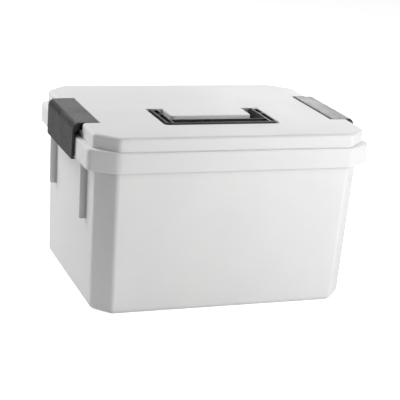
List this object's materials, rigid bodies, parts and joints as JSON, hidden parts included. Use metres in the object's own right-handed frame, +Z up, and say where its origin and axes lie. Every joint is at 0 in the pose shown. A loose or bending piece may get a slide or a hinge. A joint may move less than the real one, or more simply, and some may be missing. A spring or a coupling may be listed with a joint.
{
  "type": "lidded storage box",
  "caption": "Rigid plastic storage box with cut corners, a lift-off lid, a folding carry handle and a swing-up latch on each short side.",
  "frame": {"origin": "middle of the tub's underside, on the surface the box stands on", "axes": "+Z up, +X along the long side towards the right-hand latch, +Y away from the handle's bar"},
  "size_m": [0.3478, 0.253, 0.2095],
  "materials": {
    "shell": "satin",
    "fittings": "satin"
  },
  "bodies": {
    "tub": {"tub": "shell"},
    "lid": {"lid": "shell"},
    "latch_left": {"latch_left": "fittings"},
    "latch_right": {"latch_right": "fittings"},
    "handle": {"handle": "fittings"}
  },
  "joints": [
    {"name": "lid_lift", "type": "slide", "parent": "tub", "child": "lid", "axis": [0, 0, 1], "range_m": [0, 0.24]},
    {"name": "latch_left_swing", "type": "hinge", "parent": "lid", "child": "latch_left", "pos_m": [-0.1479, 0, 0.2045], "axis": [0, 1, 0], "range_deg": [0, 100]},
    {"name": "latch_right_swing", "type": "hinge", "parent": "lid", "child": "latch_right", "pos_m": [0.1479, 0, 0.2045], "axis": [0, -1, 0], "range_deg": [0, 100]},
    {"name": "handle_swing", "type": "hinge", "parent": "lid", "child": "handle", "pos_m": [0, -0.0063, 0.2035], "axis": [-1, 0, 0], "range_deg": [0, 100]}
  ]
}
